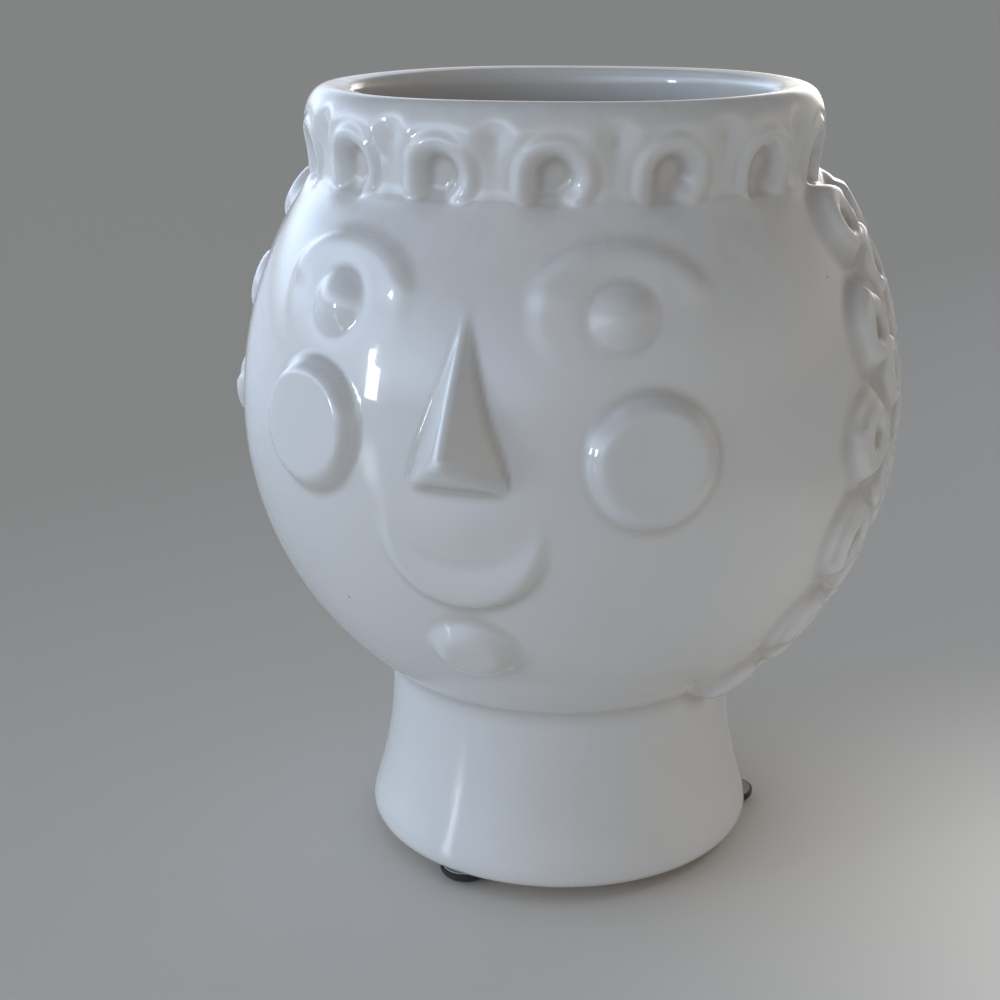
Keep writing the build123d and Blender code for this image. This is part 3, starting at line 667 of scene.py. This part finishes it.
def white_glaze(dust):
    """Thick glossy white glaze, browner where it pools and as painted shade in its hollows, with painted shade
    inside the mouth, pinholes, faint dust and a bare ring under the base.
    """
    made, tree, shader, place = new_material("white_glaze")
    # The brown for the hollows is partly pooling glaze and partly painted shade
    white, warm_white, pooled_glaze_and_shade = (0.63, 0.63, 0.625), (0.66, 0.65, 0.63), (0.43, 0.39, 0.345)
    # The inside colour is painted shade for the inside of the mouth
    inside, dusty, speck = (0.44, 0.40, 0.36), (0.45, 0.43, 0.40), (0.12, 0.08, 0.055)
    clay, sandy_clay = (0.50, 0.41, 0.32), (0.62, 0.53, 0.44)
    pool_and_shade_share, inside_shade_share, speck_share, coat_share = 0.62, 0.75, 0.75, 0.7

    # Glaze with a faint cloud in it, and a brown in the hollows that is partly pooling glaze and partly painted
    # shade
    cloud = ranged(tree, noise(tree, place, 22.0, 3.0), 0.35, 0.65)
    colour = mixed(tree, cloud, white, warm_white)
    hollow = add_node(tree, "ShaderNodeAttribute", attribute_name="hollow").outputs["Fac"]
    colour = mixed(tree, ranged(tree, hollow, 0.07, 0.46, 0.0, pool_and_shade_share), colour, pooled_glaze_and_shade)

    # Painted shade inside the mouth, darker further down
    level = add_node(tree, "ShaderNodeSeparateXYZ", {0: place}).outputs
    squares = [maths(tree, "POWER", level[axis], 2.0) for axis in ("X", "Y")]
    ring = maths(tree, "POWER", maths(tree, "ADD", *squares), 0.5)
    within = maths(tree, "MULTIPLY", ranged(tree, ring, 0.0475, 0.0455), ranged(tree, level["Z"], 0.125, 0.15))
    deep_shade = maths(tree, "MULTIPLY", within, ranged(tree, level["Z"], 0.167, 0.150))
    colour = mixed(tree, maths(tree, "MULTIPLY", deep_shade, inside_shade_share), colour, inside)
    colour, dust_mask = dusted(tree, colour, dust, 160.0, 0.30, dusty)

    # Pinholes, in some cells only
    cells = add_node(tree, "ShaderNodeTexVoronoi", {"Vector": place, "Scale": 70.0}).outputs
    lot = add_node(tree, "ShaderNodeSeparateColor", {0: cells["Color"]}).outputs[0]
    chosen = ranged(tree, lot, 0.30, 0.28)
    pinhole = maths(tree, "MULTIPLY", ranged(tree, cells["Distance"], 0.030, 0.016), chosen)
    colour = mixed(tree, maths(tree, "MULTIPLY", pinhole, speck_share), colour, speck)

    # Bare clay under the base
    bare = ranged(tree, level["Z"], 0.0042, 0.0034)
    biscuit = mixed(tree, noise(tree, place, 900.0, 3.0, 0.7), clay, sandy_clay)
    colour = mixed(tree, bare, colour, biscuit)
    tree.links.new(colour, shader.inputs["Base Color"])

    # Gloss, duller under dust and on bare clay
    sheen = ranged(tree, noise(tree, place, 45.0, 3.0), 0.3, 0.7, 0.10, 0.19)
    dulled = maths(tree, "ADD", sheen, maths(tree, "MULTIPLY", dust_mask, 0.5))
    rough = maths(tree, "ADD", dulled, maths(tree, "MULTIPLY", bare, 0.65))
    tree.links.new(rough, shader.inputs["Roughness"])
    coat = maths(tree, "MULTIPLY", maths(tree, "SUBTRACT", 1.0, bare), coat_share)
    tree.links.new(coat, shader.inputs["Coat Weight"])
    shader.inputs["Coat Roughness"].default_value = 0.04
    shader.inputs["IOR"].default_value = 1.5
    shader.inputs["Specular IOR Level"].default_value = 0.25

    # Ripples of the glaze, and the pits of the pinholes
    fine = maths(tree, "MULTIPLY", noise(tree, place, 260.0, 2.0), 0.25)
    ripple = maths(tree, "ADD", noise(tree, place, 55.0, 2.0), fine)
    height = maths(tree, "SUBTRACT", ripple, maths(tree, "MULTIPLY", pinhole, 0.6))
    bumped(tree, shader, height, 0.22, 0.0012)
    return made


def black_rubber(dust):
    """Smooth moulded rubber, a little dusty on its shoulder."""
    made, tree, shader, place = new_material("black_rubber")
    black, worn, dusty = (0.012, 0.012, 0.013), (0.026, 0.026, 0.028), (0.16, 0.15, 0.14)
    grain = noise(tree, place, 1400.0, 3.0, 0.6)
    colour, _ = dusted(tree, mixed(tree, grain, black, worn), dust, 700.0, 0.5, dusty)
    tree.links.new(colour, shader.inputs["Base Color"])
    tree.links.new(ranged(tree, grain, 0.3, 0.7, 0.34, 0.5), shader.inputs["Roughness"])
    bumped(tree, shader, grain, 0.15, 0.0002)
    return made


def grey_adhesive(dust):
    """Thin foam with open cells at its edge."""
    made, tree, shader, place = new_material("grey_adhesive")
    cell, wall, dusty = (0.20, 0.195, 0.185), (0.38, 0.37, 0.35), (0.42, 0.40, 0.37)
    cells = add_node(tree, "ShaderNodeTexVoronoi", {"Vector": place, "Scale": 2600.0}).outputs["Distance"]
    colour = mixed(tree, ranged(tree, cells, 0.1, 0.6), cell, wall)
    colour, _ = dusted(tree, colour, dust, 900.0, 0.4, dusty)
    tree.links.new(colour, shader.inputs["Base Color"])
    tree.links.new(ranged(tree, cells, 0.1, 0.6, 0.9, 0.7), shader.inputs["Roughness"])
    bumped(tree, shader, cells, 0.3, 0.0002)
    return made


dust = settled_dust_group()
glaze = white_glaze(dust)

# Ceramic body
body = bpy.data.objects.new("ceramic_body_glazed", turned_body())
bpy.context.collection.objects.link(body)
scroll_seats = seats_object("scroll_seats", collar_seats(0.5, SCROLL_RISE))
pocket_seats = seats_object("pocket_seats", collar_seats(0.0, POCKET_RISE))
hair_seats = seats_object("curl_seats", curl_seats())
ornament = body.modifiers.new("rolled_ornament", "NODES")
ornament.node_group = ornament_tree()
sizes = {
    "Scroll Seats": scroll_seats, "Pocket Seats": pocket_seats, "Curl Seats": hair_seats, "Glaze": glaze,
    "Outer Turn": 5.4 * MM, "Inner Turn": 3.8 * MM, "Stem": 5.5 * MM,
    "Roll Reach": 2.6 * MM, "Roll Height": 1.8 * MM,
    "Hollow Radius": 2.4 * MM, "Hollow Edge": 7.4 * MM, "Hollow Depth": 2.6 * MM,
    "Pocket Length": 15.4 * MM, "Pocket Reach": 5.0 * MM, "Pocket Slope": 0.44,
    "Curl Turns": 1.2, "Curl Eye": 3.0 * MM, "Curl Radius": 6.4 * MM,
    "Strand Reach": 2.5 * MM, "Strand Height": 1.7 * MM,
    "Pad Radius": 7.2 * MM, "Pad Edge": 3.6 * MM, "Pad Height": 1.9 * MM,
    "Eye Reach": 3.0 * MM, "Eye Depth": 1.5 * MM,
}
for item in ornament.node_group.interface.items_tree:
    if item.in_out == "INPUT" and item.name in sizes:
        ornament[item.identifier] = sizes[item.name]
depsgraph = bpy.context.evaluated_depsgraph_get()
finished = bpy.data.meshes.new_from_object(
    body.evaluated_get(depsgraph), preserve_all_data_layers=True, depsgraph=depsgraph
)
body.modifiers.clear()
body.data = finished
for spare in (scroll_seats, pocket_seats, hair_seats):
    bpy.data.objects.remove(spare)
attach(body, "root")
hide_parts("ceramic_body")

# Feet and their adhesive
rubber = black_rubber(dust)
foam = grey_adhesive(dust)
for name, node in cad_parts.items():
    if name.endswith(("_foot", "_adhesive")):
        node.data.materials.clear()
        node.data.materials.append(foam if name.endswith("_adhesive") else rubber)

# Floor, which runs on out of the picture, with painted light in its colour
STAGE_HALF = 9
STAGE_PAINTED_BOUNCE, STAGE_SHADED_LEFT, STAGE_LIT_RIGHT = (0.90, 0.87, 0.82), (0.58, 0.55, 0.50), (0.84, 0.82, 0.78)
floor_mesh = bpy.data.meshes.new("floor")
corners = [(x * STAGE_HALF, y * STAGE_HALF, 0) for x, y in ((-1, -1), (1, -1), (1, 1), (-1, 1))]
floor_mesh.from_pydata(corners, [], [(0, 1, 2, 3)])
floor = bpy.data.objects.new("floor", floor_mesh)
bpy.context.collection.objects.link(floor)
pale, tree, shader, place = new_material("pale_floor")
# Painted light: the floor is painted darker at the left and lighter to the right, a painted pool of light on its
# right
across = dot(tree, place, (0.9, -0.43, 0.0))
seen_with_painted_light = mixed(tree, ranged(tree, across, -0.30, 0.30), STAGE_SHADED_LEFT, STAGE_LIT_RIGHT)
path_of = add_node(tree, "ShaderNodeLightPath").outputs
shown = maths(tree, "MAXIMUM", path_of["Is Camera Ray"], path_of["Is Glossy Ray"])
shown = maths(tree, "MAXIMUM", shown, path_of["Is Transmission Ray"])
# The camera and reflections see the painted floor; rays that bounce off it see a brighter colour, painted bounce
# light on the planter from below
tree.links.new(mixed(tree, shown, STAGE_PAINTED_BOUNCE, seen_with_painted_light), shader.inputs["Base Color"])
ahead = dot(tree, place, (-0.77, -0.64, 0.0))
tree.links.new(ranged(tree, ahead, -0.02, 0.10, 0.55, 0.26), shader.inputs["Roughness"])
polished = maths(tree, "MULTIPLY", maths(tree, "SUBTRACT", 1.0, path_of["Is Camera Ray"]), 0.5)
tree.links.new(polished, shader.inputs["Specular IOR Level"])
floor_mesh.materials.append(pale)

# Sky: a cool window at the left of a warm room, a darker ceiling, a small pale light behind and a plain backdrop
WINDOW, ROOM_LOW, ROOM_HIGH = (3.2, 4.0, 5.2), (0.42, 0.395, 0.355), (0.82, 0.76, 0.68)
CEILING, LIGHT_BEHIND, BACKDROP = (0.22, 0.22, 0.225), (2.4, 2.37, 2.34), (0.42, 0.41, 0.39)
world = bpy.data.worlds.new("studio")
world.use_nodes = True
sky = world.node_tree
way_in = add_node(sky, "ShaderNodeTexCoord").outputs["Generated"]


def bearing(azimuth, elevation):
    """Direction from the planter out to an azimuth and an elevation."""
    turn, lift = radians(azimuth), radians(elevation)
    return Vector((sin(turn) * cos(lift), -cos(turn) * cos(lift), sin(lift)))


def glow(azimuth, elevation, least):
    """Share of a soft light in the sky: 1 in its middle, 0 where its direction's cosine is the least given."""
    return ranged(sky, dot(sky, way_in, bearing(azimuth, elevation)), least, 1.0, course="SMOOTHSTEP")


height = add_node(sky, "ShaderNodeSeparateXYZ", {0: way_in}).outputs["Z"]
risen = ranged(sky, height, -0.02, 0.24, 0.1, course="SMOOTHSTEP")
window = maths(sky, "MULTIPLY", glow(-75, 8, -0.2), risen)
sky_colour = mixed(sky, window, mixed(sky, risen, ROOM_LOW, ROOM_HIGH), WINDOW)
sky_colour = mixed(sky, ranged(sky, height, 0.08, 0.55), sky_colour, CEILING)
sky_colour = mixed(sky, glow(178, 7, 0.965), sky_colour, LIGHT_BEHIND)
seen_directly = add_node(sky, "ShaderNodeLightPath").outputs["Is Camera Ray"]
sky_colour = mixed(sky, seen_directly, sky_colour, BACKDROP)
sky.links.new(sky_colour, sky.nodes["Background"].inputs[0])
sky.nodes["Background"].inputs[1].default_value = 1.0
bpy.context.scene.world = world

# Small soft lamp at the left, which looks at the middle of the planter
LAMP_AWAY, LAMP_AIM = 1.2, Vector((0, 0, 0.09))
lamp = bpy.data.lights.new("window_left", "AREA")
lamp.shape = "RECTANGLE"
lamp.size, lamp.size_y = 0.10, 0.16
lamp.energy = 1.2
lamp.color = (0.86, 0.93, 1.0)
window_lamp = bpy.data.objects.new("window_left", lamp)
towards_lamp = bearing(-50, 6)
window_lamp.location = LAMP_AIM + LAMP_AWAY * towards_lamp
window_lamp.rotation_euler = towards_lamp.to_track_quat("Z", "Y").to_euler()
bpy.context.collection.objects.link(window_lamp)

# Light from above on the floor to the right, clear of the planter
patch = bpy.data.lights.new("floor_right", "SPOT")
patch.energy = 0.8
patch.color = (0.97, 0.98, 1.0)
patch.spot_size, patch.spot_blend = radians(88), 1.0
patch.shadow_soft_size = 0.03
patch_lamp = bpy.data.objects.new("floor_right", patch)
patch_lamp.location = (0.185, -0.015, 0.20)
bpy.context.collection.objects.link(patch_lamp)

# Camera where the photograph was taken from
CAMERA_AWAY, CAMERA_HEIGHT = 0.3517, 0.1914
camera_data = bpy.data.cameras.new("camera")
camera_data.sensor_width = 36
camera_data.lens = 60.61
camera = bpy.data.objects.new("camera", camera_data)
pitch, yaw, roll_angle, station = radians(18.26), radians(-2.18), radians(-0.23), radians(16)
forward = Vector((sin(yaw) * cos(pitch), cos(yaw) * cos(pitch), -sin(pitch)))
right = forward.cross(Vector((0, 0, 1))).normalized()
upward = right.cross(forward)
side = cos(roll_angle) * right + sin(roll_angle) * upward
top = cos(roll_angle) * upward - sin(roll_angle) * right
turned = Matrix.Rotation(station, 4, "Z")
aim = Matrix((side, top, -forward)).transposed().to_4x4()
camera.matrix_world = turned @ Matrix.Translation((0, -CAMERA_AWAY, CAMERA_HEIGHT)) @ aim
bpy.context.collection.objects.link(camera)
bpy.context.scene.camera = camera
bpy.context.scene.view_settings.view_transform = "Standard"
